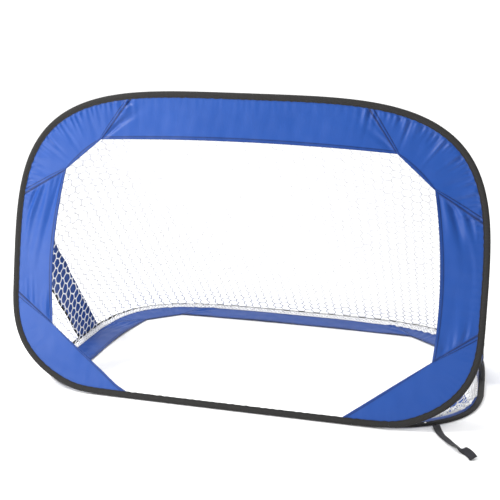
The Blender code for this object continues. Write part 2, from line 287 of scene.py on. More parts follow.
def closed_sheet(top, bottom):
    """Points and quads of a closed sheet, from a grid of points for each of its two faces."""
    rows, columns = top.shape[:2]
    count = rows * columns
    quads = grid_quads(rows, columns)
    rim = np.concatenate([
        np.arange(columns), np.arange(2, rows + 1) * columns - 1,
        (rows - 1) * columns + np.arange(columns - 2, -1, -1), np.arange(rows - 2, 0, -1) * columns,
    ])
    after = np.roll(rim, -1)
    walls = np.stack([rim, after, after + count, rim + count], 1)
    points = np.concatenate([top.reshape(-1, 3), bottom.reshape(-1, 3)])
    return points, np.concatenate([quads[:, ::-1], quads + count, walls])


def outward(points, quads):
    """The quads, turned over if they face into the body."""
    a, b, c, d = (points[quads[:, i]] for i in range(4))
    volume = (a * np.cross(b, c)).sum() + (a * np.cross(c, d)).sum()
    return quads[:, ::-1] if volume < 0 else quads


def add_object(name, data):
    thing = bpy.data.objects.new(name, data)
    bpy.context.scene.collection.objects.link(thing)
    return thing


def add_mesh(name, points, quads, material, uv=None, doubled_and_shade=None, sharp=50):
    """A smooth-shaded object from quads, with a UV map and a mark for doubled cloth and painted shade."""
    quads = np.ascontiguousarray(outward(points, quads), np.int32)
    mesh = bpy.data.meshes.new(name)
    mesh.vertices.add(len(points))
    mesh.vertices.foreach_set("co", points.astype(np.float32).ravel())
    mesh.loops.add(quads.size)
    mesh.loops.foreach_set("vertex_index", quads.ravel())
    mesh.polygons.add(len(quads))
    mesh.polygons.foreach_set("loop_start", 4 * np.arange(len(quads), dtype=np.int32))
    mesh.update(calc_edges=True)
    mesh.shade_smooth()
    mesh.set_sharp_from_angle(angle=math.radians(sharp))
    if uv is not None:
        layer = mesh.uv_layers.new(name="cloth")
        layer.data.foreach_set("uv", uv[quads.ravel()].astype(np.float32).ravel())
    if doubled_and_shade is not None:
        mark = mesh.attributes.new("doubled_and_shade", "FLOAT", "POINT")
        mark.data.foreach_set("value", doubled_and_shade.astype(np.float32).ravel())
    mesh.materials.append(material)
    return add_object(name, mesh)


def add_sheet(name, top, bottom, material, uv, doubled_and_shade=None):
    points, quads = closed_sheet(top, bottom)
    uv = np.concatenate([uv.reshape(-1, 2)] * 2)
    if doubled_and_shade is not None:
        doubled_and_shade = np.concatenate([doubled_and_shade.ravel()] * 2)
    return add_mesh(name, points, quads, material, uv, doubled_and_shade)


def add_stitches(name, rows, length, radius, material):
    """Short thread stitches: small rounded bars. A row gives their middles and two ways from
    each, along the seam and up."""
    middles, along, up = (np.concatenate([np.atleast_2d(row[i]) for row in rows]) for i in range(3))
    across = np.cross(along, up)
    points = []
    for place, size in ((-0.5, 0.45), (0.0, 1.0), (0.5, 0.45)):
        for a, b in ((1, 0), (0, 1), (-1, 0), (0, -1)):
            lift = radius * size * (a * across + b * up)
            points.append(middles + along * length * place + lift)
    points = np.stack(points, 1).reshape(-1, 3)
    one = [(r * 4 + i, r * 4 + (i + 1) % 4, r * 4 + 4 + (i + 1) % 4, r * 4 + 4 + i)
           for r in (0, 1) for i in range(4)]
    one += [(3, 2, 1, 0), (8, 9, 10, 11)]
    quads = (12 * np.arange(len(middles))[:, None, None] + np.array(one)[None]).reshape(-1, 4)
    return add_mesh(name, points, quads, material)


# ---- materials


class Nodes:
    """The node tree of a material or a world, with short calls to add and join nodes."""

    def __init__(self, name, world=False):
        self.holder = (bpy.data.worlds if world else bpy.data.materials).new(name)
        self.holder.use_nodes = True
        self.tree = self.holder.node_tree
        self.shader = self.tree.nodes["Background" if world else "Principled BSDF"]

    def add(self, kind, **inputs):
        node = self.tree.nodes.new(kind)
        for name, value in inputs.items():
            self.set(node, name.replace("_", " "), value)
        return node

    def set(self, node, name, value):
        """Joins a socket to an input, or gives the input a number or an opaque colour."""
        socket = node.inputs[int(name)] if name.isdigit() else node.inputs[name]
        if isinstance(value, bpy.types.NodeSocket):
            self.tree.links.new(value, socket)
        else:
            socket.default_value = (*value, 1.0) if isinstance(value, tuple) else value

    def uv(self):
        return self.add("ShaderNodeUVMap").outputs["UV"]

    def place(self):
        return self.add("ShaderNodeTexCoord").outputs["Object"]

    def split(self, vector):
        return self.add("ShaderNodeSeparateXYZ", Vector=vector).outputs

    def doubled_and_shade(self, share):
        """The mesh's mark for doubled cloth and painted shade, times share."""
        mark = self.add("ShaderNodeAttribute")
        mark.attribute_name = "doubled_and_shade"
        return self.math("MULTIPLY", mark.outputs["Fac"], share)

    def math(self, operation, a, b=0.0):
        node = self.tree.nodes.new("ShaderNodeMath")
        node.operation = operation
        self.set(node, "0", a)
        self.set(node, "1", b)
        return node.outputs[0]

    def zigzag(self, value):
        """Goes down and up between 0.5 and 0 once in each whole step of the input."""
        return self.math("ABSOLUTE", self.math("SUBTRACT", self.math("FRACT", value), 0.5))

    def ramp(self, value, low, high):
        """A grey value from low to high as the input goes from 0 to 1."""
        node = self.add("ShaderNodeMapRange", Value=value, To_Min=low, To_Max=high)
        return node.outputs["Result"]

    def mix(self, factor, a, b):
        node = self.tree.nodes.new("ShaderNodeMix")
        node.data_type = "RGBA"
        self.set(node, "0", factor)
        self.set(node, "6", a)
        self.set(node, "7", b)
        return node.outputs[2]

    def noise(self, vector, scale, detail=3.0, roughness=0.5):
        node = self.add("ShaderNodeTexNoise", Vector=vector, Scale=scale, Detail=detail,
                        Roughness=roughness)
        return node.outputs["Fac"]

    def wave(self, vector, scale, direction):
        node = self.add("ShaderNodeTexWave", Vector=vector, Scale=scale)
        node.bands_direction = direction
        return node.outputs["Fac"]

    def bump(self, height, distance, strength):
        node = self.add("ShaderNodeBump", Height=height, Distance=distance, Strength=strength)
        return node.outputs["Normal"]

    def finish(self, colour, roughness, **inputs):
        for name, value in {"Base Color": colour, "Roughness": roughness, **inputs}.items():
            self.set(self.shader, name.replace("_", " "), value)
        return self.holder


def cloth_material():
    """Blue polyester: a fine plain weave with a satin gloss. Painted shade darkens it where it is doubled,
    along its hem stitching and in and beside its seams.
    """
    n = Nodes("blue_cloth")
    uv, place = n.uv(), n.place()
    weave = n.math("MAXIMUM", n.wave(uv, 260.0, "X"), n.wave(uv, 260.0, "Y"))
    slub = n.noise(place, 900.0, 2.0)
    cloud = n.noise(place, 9.0, 4.0)
    base = n.mix(n.ramp(cloud, 0.0, 1.0), (0.0085, 0.057, 0.275), (0.012, 0.070, 0.325))
    # Painted shade: the mark darkens the blue toward deep navy on the doubled hem, its stitch line, the cut
    # edge and the seams, and as a shadow beside each seam.
    return n.finish(n.mix(n.doubled_and_shade(0.85), base, (0.002, 0.014, 0.085)),
                    n.ramp(n.noise(place, 60.0), 0.38, 0.50), Specular_IOR_Level=0.33,
                    Normal=n.bump(n.math("ADD", weave, slub), 0.00006, 0.35))


def tape_material():
    """Black grosgrain tape: ribs across its width, and a dusty grey bloom on their crowns."""
    n = Nodes("black_tape")
    place = n.place()
    ribs = n.wave(n.uv(), 95.0, "X")
    fuzz = n.ramp(n.noise(place, 700.0, 3.0, 0.6), 0.0, 0.6)
    worn = n.noise(place, 35.0, 4.0, 0.6)
    dust = n.math("MULTIPLY", ribs, n.ramp(worn, 0.1, 0.9))
    return n.finish(n.mix(dust, (0.011, 0.0105, 0.0105), (0.036, 0.034, 0.032)),
                    n.ramp(worn, 0.72, 0.92), Specular_IOR_Level=0.35, Sheen_Weight=0.04,
                    Normal=n.bump(n.math("ADD", ribs, fuzz), 0.00022, 0.6))


def webbing_material():
    """Black polyester webbing with a herringbone of slanted ribs."""
    n = Nodes("black_webbing")
    place, split = n.place(), n.split(n.uv())
    fold = n.math("MULTIPLY", n.zigzag(n.math("MULTIPLY", split["Y"], 210.0)), 2.0)
    rib = n.zigzag(n.math("ADD", n.math("MULTIPLY", split["X"], 640.0), fold))
    fuzz = n.ramp(n.noise(place, 900.0, 3.0, 0.6), 0.0, 0.4)
    return n.finish(n.mix(n.math("MULTIPLY", rib, 2.0), (0.005, 0.005, 0.007), (0.017, 0.016, 0.021)),
                    n.ramp(n.noise(place, 80.0), 0.62, 0.82), Specular_IOR_Level=0.4,
                    Sheen_Weight=0.04, Normal=n.bump(n.math("ADD", rib, fuzz), 0.0003, 0.7))


def net_material():
    """White knotless net: strands twisted from soft polyester yarn. Painted light makes it whiter toward the
    left, where its strands face away from the key light, and greyer toward the right.
    """
    n = Nodes("white_net")
    place, split = n.place(), n.split(n.uv())
    ply = n.zigzag(n.math("ADD", split["X"], split["Y"]))
    fuzz = n.noise(place, 1400.0, 3.0, 0.6)
    # Painted light: the net's white is raised toward the left (lower X), where its strands face away from
    # the key light and would read darker.
    tone = n.math("SUBTRACT", n.noise(place, 40.0), n.split(place)["X"])
    normal = n.bump(n.math("ADD", ply, n.ramp(fuzz, 0.0, 0.3)), 0.0004, 0.45)
    return n.finish(n.mix(tone, (0.72, 0.72, 0.725), (0.92, 0.92, 0.92)), n.ramp(fuzz, 0.62, 0.85),
                    Normal=normal, Sheen_Weight=0.2, Sheen_Roughness=0.5)


def hem_material():
    """White hem tape with the last meshes of the net squeezed on it, with painted shade near black in its
    hollows.
    """
    n = Nodes("white_hem")
    folds = n.noise(n.place(), 160.0, 4.0, 0.6)
    base = n.mix(folds, (0.90, 0.90, 0.91), (0.97, 0.97, 0.97))
    # Painted shade: the mark turns the hem near black in the hollows between its squeezed meshes.
    return n.finish(n.mix(n.doubled_and_shade(0.9), base, (0.09, 0.09, 0.14)), 0.78,
                    Normal=n.bump(folds, 0.0006, 0.5), Sheen_Weight=0.1)


def thread_material(name, colour):
    """Twisted sewing thread."""
    n = Nodes(name)
    fuzz = n.noise(n.place(), 1800.0, 2.0)
    dark = tuple(0.6 * c for c in colour)
    return n.finish(n.mix(fuzz, dark, colour), n.ramp(fuzz, 0.55, 0.8),
                    Normal=n.bump(fuzz, 0.0001, 0.5), Specular_IOR_Level=0.3)


def steel_material():
    """Drawn spring wire: fine lines along its length, with a faint oily darkening."""
    n = Nodes("spring_steel")
    place = n.place()
    lines = n.noise(place, 420.0, 4.0, 0.7)
    colour = n.mix(n.noise(place, 18.0), (0.30, 0.31, 0.33), (0.50, 0.51, 0.53))
    return n.finish(colour, n.ramp(lines, 0.26, 0.48), Normal=n.bump(lines, 0.00005, 0.4),
                    Metallic=1.0)


def nickel_material():
    """Bright plating with small scuffs."""
    n = Nodes("nickel")
    scuff = n.noise(n.place(), 1500.0, 4.0, 0.65)
    return n.finish(n.mix(scuff, (0.80, 0.79, 0.76), (0.93, 0.92, 0.89)), n.ramp(scuff, 0.30, 0.46),
                    Normal=n.bump(scuff, 0.00003, 0.4), Metallic=1.0)


def floor_material():
    """A plain pale studio floor with the faintest mottling."""
    n = Nodes("pale_floor")
    tone = n.noise(n.place(), 3.0)
    return n.finish(n.mix(tone, (0.955, 0.955, 0.955), (0.965, 0.965, 0.965)), 0.9,
                    Specular_IOR_Level=0.0)


CLOTH = cloth_material()
TAPE = tape_material()
WEBBING = webbing_material()
NET = net_material()
HEM = hem_material()
STEEL = steel_material()
NICKEL = nickel_material()
BLUE_THREAD = thread_material("blue_thread", (0.003, 0.022, 0.120))
BLACK_THREAD = thread_material("black_thread", (0.030, 0.029, 0.028))


# ---- cloth borders


def seams_of(side):
    """A loop's three seams on one side: outer point, inner corner, the way into the straight
    panel beside it, and how strongly and how far that panel is gathered from it."""
    def seam(angle, corner, way, strength, reach):
        outer = edge(np.array(distance_at(angle)), PANEL_INSET)
        flip = np.array([side, 1.0])
        return outer * flip, np.array(corner) * flip, np.array(way) * flip, strength, reach

    return [seam(SEAM_LOW, OPENING_LOW, (0.0, 1.0), 0.6, 0.06),
            seam(SEAM_HIGH, OPENING_HIGH, (0.26, -0.97), 1.0, 0.13),
            seam(SEAM_TOP, OPENING_TOP, (-0.78, 0.63), 1.1, 0.070)]


def crown_share(distance):
    """How much the binding gathers the cloth: most in the upper right corner, and there most
    at its lower seam, then the upper left."""
    d = np.mod(distance, PERIMETER)
    near = np.minimum(d, PERIMETER - d)
    start, end = distance_at(SEAM_HIGH), distance_at(SEAM_TOP)
    rise = smooth((near - start + 0.02) / 0.05) * smooth((end + 0.03 - near) / 0.05)
    right = 1.35 - 0.35 * np.clip((near - start) / (end - start), 0.0, 1.0)
    return 0.10 + rise * np.where(d < PERIMETER / 2, right, 0.62)


class Gathers:
    """The folds in one loop's cloth, as a height above the loop's plane at any (u, v)."""

    def __init__(self, loop, amount):
        rng = np.random.default_rng(loop.seed)
        self.amount, self.seed = amount, loop.seed
        at = np.cumsum(rng.uniform(*PUCKER_SPACING, 400))
        self.at = at[at < PERIMETER - 0.006]
        count = len(self.at)
        self.tall = rng.uniform(0.45, 1.0, count) * rng.choice([-1, 1], count, p=[0.3, 0.7])
        self.tall = self.tall * crown_share(self.at)
        self.wide = rng.uniform(*PUCKER_WIDTH, count)
        self.reach = 0.012 + 0.036 * rng.uniform(0.0, 1.0, count) ** 1.6
        self.folds = []
        for side in (1, -1):
            for outer, corner, way, strength, reach in seams_of(side):
                for k in range(FOLDS_PER_SEAM):
                    share = 0.16 + 0.80 * (k + rng.uniform(0.15, 0.85)) / FOLDS_PER_SEAM
                    lean = rng.uniform(-0.12, 0.12) + 0.20 * (share - 0.6)
                    across = turned(way)
                    along = unit(way + lean * np.sign(across @ (corner - outer)) * across)
                    self.folds.append((
                        outer + (corner - outer) * share, along, outer, unit(corner - outer), way,
                        strength * rng.uniform(0.5, 1.0) * rng.choice([-1, 1], p=[0.4, 0.6]),
                        rng.uniform(*FOLD_WIDTH), reach * rng.uniform(0.5, 1.25),
                        rng.uniform(-0.6, 0.6)))

    def height(self, uv):
        distance, inset = edge_coordinates(uv)
        shape = distance.shape
        distance, inset, flat = distance.ravel(), inset.ravel(), uv.reshape(-1, 2)
        rise = np.zeros(len(flat))
        start = smooth((inset - 0.0155) / 0.007)
        for at, tall, wide, reach in zip(self.at, self.tall, self.wide, self.reach):
            apart = (distance - at + PERIMETER / 2) % PERIMETER - PERIMETER / 2
            near = np.abs(apart) < 4 * wide
            x = apart[near] / wide
            away = np.maximum(inset[near] - 0.019, 0.0)
            fade = np.exp(-((away / reach) ** 1.4))
            x = x / (1 + 12.0 * away)
            rise[near] += tall * (1 - 0.6 * x * x) * np.exp(-x * x / 2) * fade
        total = PUCKER_HEIGHT * rise * start
        clear = smooth((inset - 0.026) / 0.014)
        for origin, along, outer, line, way, tall, wide, reach, bend in self.folds:
            normal = way - (way @ line) * line
            from_seam = (flat - outer) @ unit(normal)
            near = (from_seam > 0) & (from_seam < 3.2 * reach)
            apart = flat[near] - origin
            run = apart @ along
            across = apart @ turned(along) + bend * run * run
            width = wide * (1 + 3.0 * np.maximum(run, 0.0))
            x = across / width
            grow = smooth(from_seam[near] / 0.012) * np.exp(-(np.maximum(run, 0.0) / reach) ** 1.7)
            fold = tall * (1 - 0.5 * x * x) * np.exp(-x * x / 2) * grow
            total[near] += FOLD_HEIGHT * fold * clear[near]
        loose = smooth((inset - 0.018) / 0.04)
        for tall, size, more in ((0.0016, 0.23, 3), (0.0004, 0.045, 4)):
            total += tall * loose * ripple(flat[:, 0], flat[:, 1], size, self.seed + more)
        return (self.amount * total).reshape(shape)


def lying_low(w):
    """Keeps the lying loop's cloth just above the floor."""
    return np.maximum(w, -0.0030 + 0.15 * (w + 0.0030))


class Panel:
    """One border panel. Its points are given by s, from 0 at one seam to 1 at the other, and by
    their distance from the opening's edge."""

    def __init__(self, loop, gathers, angles, ends, bow, flip):
        self.loop, self.gathers = loop, gathers
        self.start, end = (distance_at(angle) for angle in angles)
        self.ends, self.bow, self.flip = np.array(ends), np.array(bow), flip
        self.length = end - self.start

    def outer(self, s):
        return edge(self.start + GAP + (self.length - 2 * GAP) * s, PANEL_INSET)

    def inner(self, s):
        first, last = self.ends
        return first + (last - first) * s[..., None] + 4 * (s * (1 - s))[..., None] * self.bow

    def point(self, s, from_opening):
        """The point (u, v) at share s, this far from the opening's edge."""
        outer, inner = self.outer(s), self.inner(s)
        uv = inner + unit(outer - inner) * from_opening[..., None]
        return uv * np.array([-1.0, 1.0]) if self.flip else uv

    def width(self, s):
        return np.linalg.norm(self.outer(s) - self.inner(s), axis=-1)

    def spans(self):
        """The straight distances between its seams, at the binding and at the opening."""
        first, last = np.array(0.0), np.array(1.0)
        return [np.linalg.norm(line(first) - line(last)) for line in (self.outer, self.inner)]

    def height(self, uv):
        w = self.gathers.height(uv)
        return lying_low(w) if self.loop is GROUND else w


OPENING_ROWS = np.array([0.0, 0.0003, 0.0010, 0.0035, 0.0062, 0.0074, 0.0079, 0.0084, 0.0092,
                         0.0108, 0.0132])


def hem_half(from_opening):
    """Half the cloth's thickness: doubled in the hem, nipped in by its stitches."""
    doubled_and_shade = 1 - smooth((from_opening - HEM_WIDTH) / 0.0007)
    edge_round = np.sqrt(np.clip(from_opening / 0.0008, 0.02, 1.0))
    nip = np.exp(-(((from_opening - HEM_STITCHES) / 0.0006) ** 2))
    return (CLOTH_HALF + (HEM_HALF - CLOTH_HALF) * doubled_and_shade) * edge_round * (1 - 0.45 * nip)


def add_panel(name, panel):
    """The panel's cloth, with its opening hem folded over and sewn down."""
    s = np.linspace(0.0, 1.0, int(panel.spans()[0] / 0.0027) + 24)[None, :]
    width = panel.width(s)
    rest = np.linspace(0.0, 1.0, 34)[1:, None]
    far = OPENING_ROWS[-1]
    rows = [np.broadcast_to(r, width.shape) for r in OPENING_ROWS]
    from_opening = np.concatenate([np.concatenate(rows, 0), far + (width - far) * rest], 0)
    uv = panel.point(np.broadcast_to(s, from_opening.shape), from_opening)
    w = panel.height(uv)
    half = hem_half(from_opening)
    # Painted shade in the mark: a darker doubled hem band, a dark line along the hem's stitching, a dark
    # rolled edge at the opening, and a painted shadow beside each seam where the panel dips under it.
    doubled_and_shade = 0.45 * (1 - smooth((from_opening - HEM_WIDTH) / 0.0006))
    doubled_and_shade = np.maximum(doubled_and_shade, np.exp(-(((from_opening - 0.0082) / 0.0013) ** 2)))
    doubled_and_shade = np.maximum(doubled_and_shade, 1 - smooth((from_opening - 0.0004) / 0.0012))
    from_seam = np.minimum(s, 1 - s) * panel.length
    doubled_and_shade = np.maximum(doubled_and_shade, 0.95 * (1 - smooth((from_seam - 0.0012) / 0.0016)))
    thing = add_sheet(name, panel.loop.place(uv, w - half), panel.loop.place(uv, w + half),
                      CLOTH, uv, doubled_and_shade)
    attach(thing, panel.loop.body)
    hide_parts(name.removesuffix("_cloth"))
    outline_points = np.concatenate([uv[0], uv[:, -1], uv[-1, ::-1], uv[::-1, 0]])
    x, y = outline_points[:, 0], outline_points[:, 1]
    area = abs((x * np.roll(y, -1) - y * np.roll(x, -1)).sum()) / 2
    first, last = (panel.point(np.array(s), np.array(0.05)) for s in (0.0, 1.0))
    long_way = unit(last - first)
    return thing, [np.ptp(outline_points @ way) for way in (turned(long_way), long_way)], area


def add_seam(name, panel, at_end):
    """The seam's allowance, folded onto the corner panel and topstitched along both edges."""
    columns = np.array([-0.0027, -0.0020, -0.0002, 0.0015, 0.0025, 0.0055, 0.0085, 0.0098, 0.0111,
                        0.0116])
    shell = np.array([0.15, 0.8, 1.1, 0.9, 0.6, 1.2, 1.2, 0.5, 1.0, 0.15]) * 0.0007
    length, narrow = panel.spans()
    width = float(panel.width(np.array(1.0 if at_end else 0.0)))
    from_opening = np.linspace(0.0, width - 0.004, 46)[:, None]
    share = columns[None, :] / (narrow + (length - narrow) * from_opening / width)
    s = 1 - share if at_end else share
    uv = panel.point(s, np.broadcast_to(from_opening, s.shape))
    w = panel.height(uv) - CLOTH_HALF
    top, bottom = panel.loop.place(uv, w - shell), panel.loop.place(uv, w + 0.0001)
    # Painted shade: the mark darkens the allowance along the seam line and along its far edge, lighter
    # between.
    doubled_and_shade = np.broadcast_to(np.array([1, 1, 1, 1, 0.6, 0.1, 0.3, 0.9, 0.9, 0.9]), s.shape)
    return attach(add_sheet(name, top, bottom, CLOTH, uv, doubled_and_shade), panel.loop.body), uv, w


def stitch_line(loop, uv, w, pitch, lift):
    """Middles, directions and normals of stitches along a line of points on a loop's cloth."""
    line = loop.place(uv, w)
    steps = np.linalg.norm(np.diff(line, axis=0), axis=1)
    at = np.concatenate([[0.0], np.cumsum(steps)])
    where = np.arange(pitch, at[-1] - pitch / 2, pitch)
    middles = points_at(where, at, line)
    along = unit(points_at(where + pitch / 3, at, line) - middles)
    normal = np.broadcast_to(loop.w_axis * math.copysign(1.0, lift), middles.shape)
    up = unit(normal - (normal * along).sum(1, keepdims=True) * along)
    return middles + loop.w_axis * lift, along, up


def add_border(loop, far_name, gathers):
    """The seven panels of one loop, with their seams and stitches."""
    layout = [(f"{loop.name}_{far_name}_panel", (SEAM_TOP, 180 - SEAM_TOP),
               (OPENING_TOP, (-OPENING_TOP[0], OPENING_TOP[1])), (0.0, CROWN_BOW), False, ())]
    parts = (
        ("foot_corner", (PANEL_FOOT, SEAM_LOW), (OPENING_FOOT, OPENING_LOW), (0.0, 0.0), (True,)),
        ("panel", (SEAM_LOW, SEAM_HIGH), (OPENING_LOW, OPENING_HIGH), SIDE_BOW, ()),
        (f"{far_name}_corner", (SEAM_HIGH, SEAM_TOP), (OPENING_HIGH, OPENING_TOP), (0.0, 0.0),
         (False, True)))
    for side, flip in (("right", False), ("left", True)):
        for part, angles, ends, bow, seam_ends in parts:
            layout.append((f"{loop.name}_{side}_{part}", angles, ends, bow, flip, seam_ends))
    rows = []
    for name, angles, ends, bow, flip, seam_ends in layout:
        panel = Panel(loop, gathers, angles, ends, bow, flip)
        thing, spans, area = add_panel(name + "_cloth", panel)
        for at_end in seam_ends:
            seam, seam_uv, seam_w = add_seam(f"{name}_seam_{int(at_end)}", panel, at_end)
            for column in (4, 7):
                line, w = seam_uv[2:, column], seam_w[2:, column]
                for drop, lift in ((0.0, -0.00050), (2 * CLOTH_HALF, 0.00008)):
                    rows.append(stitch_line(loop, line, w + drop, CLOTH_STITCH_PITCH, lift))
        line = panel.point(np.linspace(0.0, 1.0, 200), np.full(200, HEM_STITCHES))
        for lift in (-0.00040, 0.00040):
            rows.append(stitch_line(loop, line, panel.height(line), CLOTH_STITCH_PITCH, lift))
    stitches = add_stitches(f"{loop.name}_cloth_stitches", rows, 0.0027, 0.00032, BLUE_THREAD)
    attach(stitches, loop.body)


# ---- binding tape

TAPE_PROFILE = (
    (0.0160, 0.0014), (0.0152, 0.0018), (0.0141, 0.0018), (0.0134, 0.0014), (0.0127, 0.0019),
    (0.0112, 0.0026), (0.0095, 0.0032), (0.0078, 0.0037), (0.0060, 0.0039), (0.0044, 0.0039),
    (0.0030, 0.0037), (0.0018, 0.0032), (0.0009, 0.0024), (0.0003, 0.0013), (0.0, 0.0),
)


def tape_contours():
    """The folded tape's outer and inner lines as (inset, w), from one lip round to the other."""
    half = np.array(TAPE_PROFILE)
    outer = np.concatenate([half, half[-2::-1] * np.array([1.0, -1.0])])
    normal = unit(turned(np.gradient(outer, axis=0)))
    inner = outer + TAPE_WALL * normal * math.copysign(1.0, normal[len(half) - 1, 0])
    turn = len(half) - 1
    inner[:turn, 1] = np.maximum(inner[:turn, 1], 0.0004)
    inner[turn, 1] = 0.0
    inner[turn + 1:, 1] = np.minimum(inner[turn + 1:, 1], -0.0004)
    inner[0, 0] = inner[-1, 0] = outer[0, 0]
    return outer, inner


def add_tape(name, loop, start, end, node):
    """Binding tape folded round the wire and the cloth's edge, pulled in a little by its seam."""
    distances = np.linspace(start, end, int((end - start) / 0.0026))[:, None]
    grids = []
    for contour in tape_contours():
        inset, w = contour[None, :, 0], contour[None, :, 1]
        loose = smooth((inset - 0.009) / 0.007)
        shift = 0.00045 * loose * ripple(distances, 0.0, 0.021, loop.seed + 7)
        lift = 0.00032 * loose * ripple(distances, 0.0, 0.013, loop.seed + 8)
        body = 0.00014 * ripple(distances, inset * 2.0, 0.030, loop.seed + 9)
        bulge = 0.05 * smooth(1 - np.abs(inset - 0.005) / 0.004)
        swell = 1 + body / 0.004 + bulge * ripple(distances, 0.0, 0.16, loop.seed + 10)
        w = np.clip(w * swell, -BINDING_HALF, BINDING_HALF) + lift
        grids.append(loop.place(edge(distances, np.maximum(inset + shift, 0.0)), w))
    width = np.linspace(0.0, TAPE_FLAT_WIDTH, len(contour))[None, :]
    width = np.broadcast_to(width, grids[0].shape[:2])
    uv = np.stack([np.broadcast_to(distances, width.shape), width], -1)
    thing = add_sheet(name, *grids, TAPE, uv)
    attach(thing, loop.body)
    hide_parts(node)


def add_binding(loop):
    """The loop's two lengths of tape, and the two rows of stitches that close them."""
    add_tape(f"{loop.name}_run_tape", loop, -RUN_HALF + GAP, RUN_HALF - GAP,
             f"{loop.name}_run_binding")
    add_tape(f"{loop.name}_tape", loop, RUN_HALF, PERIMETER - RUN_HALF, f"{loop.name}_binding")
    distances = np.linspace(0.0, PERIMETER, 1500)
    line = edge(distances, TAPE_STITCHES)
    rows = [stitch_line(loop, line, 0.0 * distances + w, TAPE_STITCH_PITCH, lift)
            for w, lift in ((-0.0013, -0.0001), (0.0013, 0.0001))]
    stitches = add_stitches(f"{loop.name}_tape_stitches", rows, 0.0030, 0.00038, BLACK_THREAD)
    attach(stitches, loop.body)


# ---- net


def fan_share(x):
    """How far round the fold a point at share x of a straight line between the loops lies."""
    spread = math.pi / 2 - FRONT_LEAN
    turn = np.arctan2(x * math.sin(spread), 1 - x * (1 - math.cos(spread)))
    return np.clip(turn / spread, 0.0, 1.0)


def fold_between(thing, share):
    """Lets a piece that joins the loops close like a fan as the front loop folds down."""
    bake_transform(thing, "ground_frame", "front_frame", start=(0, 0.3, 0.0), end=(0, 0.05, 0.3))
    weights = thing.data.attributes["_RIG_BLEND"].data
    weights.foreach_set("value", np.ascontiguousarray(share, np.float32))
    return thing


class NetSurface:
    """The net as a flat sheet rolled round the goal: c round it, t along its straight lines."""

    def __init__(self):
        start, lift = distance_at(NET_START), GAP + 0.0012
        uv = edge(np.linspace(start, PERIMETER - start, 900), NET_INSET)
        self.ground = GROUND.place(uv, np.full(len(uv), GROUND_HEM_TOP + lift))
        self.front = FRONT.place(uv, np.full(len(uv), FRONT_HEM_TOP + lift))
        self.way = unit((self.front - self.ground).sum(0))
        self.low, self.high = self.ground @ self.way, self.front @ self.way
        flat = self.ground - self.low[:, None] * self.way
        self.c = np.concatenate([[0.0], np.cumsum(np.linalg.norm(np.diff(flat, axis=0), axis=1))])
        self.normal = unit(np.cross(np.gradient(flat, axis=0), self.way))

    def place(self, c, t, off):
        """The point in space at (c, t), this far off the surface, and its share of the way up."""
        low, high = np.interp(c, self.c, self.low), np.interp(c, self.c, self.high)
        squeeze_low, squeeze_high = 0.011, 0.005
        low_room = squeeze_low * np.logaddexp(0.0, (t - low) / squeeze_low)
        high_room = squeeze_high * np.logaddexp(0.0, (high - t) / squeeze_high)
        span = np.maximum(high - low, 1e-3)
        x = np.clip(np.where(t - low < high - t, low_room / span, 1 - high_room / span), 0.0, 1.0)
        sunk = 0.0045 / span * (1 - smooth(x * span / 0.03))
        ground, front, normal = (points_at(c, self.c, line)
                                 for line in (self.ground, self.front, self.normal))
        point = ground + (front - ground) * (x - sunk)[..., None]
        belly = np.sin(math.pi * x) * smooth(span / 0.5)
        sag = 0.016 * belly + 0.0035 * belly * ripple(c, t, 0.30, 5)
        wander = 0.0016 * np.minimum(1.0, 3 * belly) * ripple(c, t, 0.055, 6)
        point = point + (off + wander)[..., None] * normal
        point[..., 2] -= sag
        return point, x


def mesh_outline(spacing, pitch, zigzag):
    """One mesh as points round its strands' middle lines, and the way from each to its hole."""
    a, b, e = spacing / 2, pitch / 2, zigzag
    corners = np.array([(-a + e, b), (a - e, b), (a + e, 0), (a - e, -b), (-a + e, -b), (-a - e, 0)])
    ring, inward = [], []
    for i, start in enumerate(corners):
        end, before = corners[(i + 1) % 6], corners[i - 1]
        side, old_side = unit(end - start), unit(start - before)
        normal, old_normal = (np.array([v[1], -v[0]]) for v in (side, old_side))
        mitre = unit(normal + old_normal)
        ring.append(start)
        inward.append(mitre * (1.0 / (mitre @ normal) + 0.42))
        steps = 3 if i in (0, 3) else 2
        for k in range(1, steps):
            ring.append(start + (end - start) * k / steps)
            inward.append(normal)
    return np.array(ring), np.array(inward)


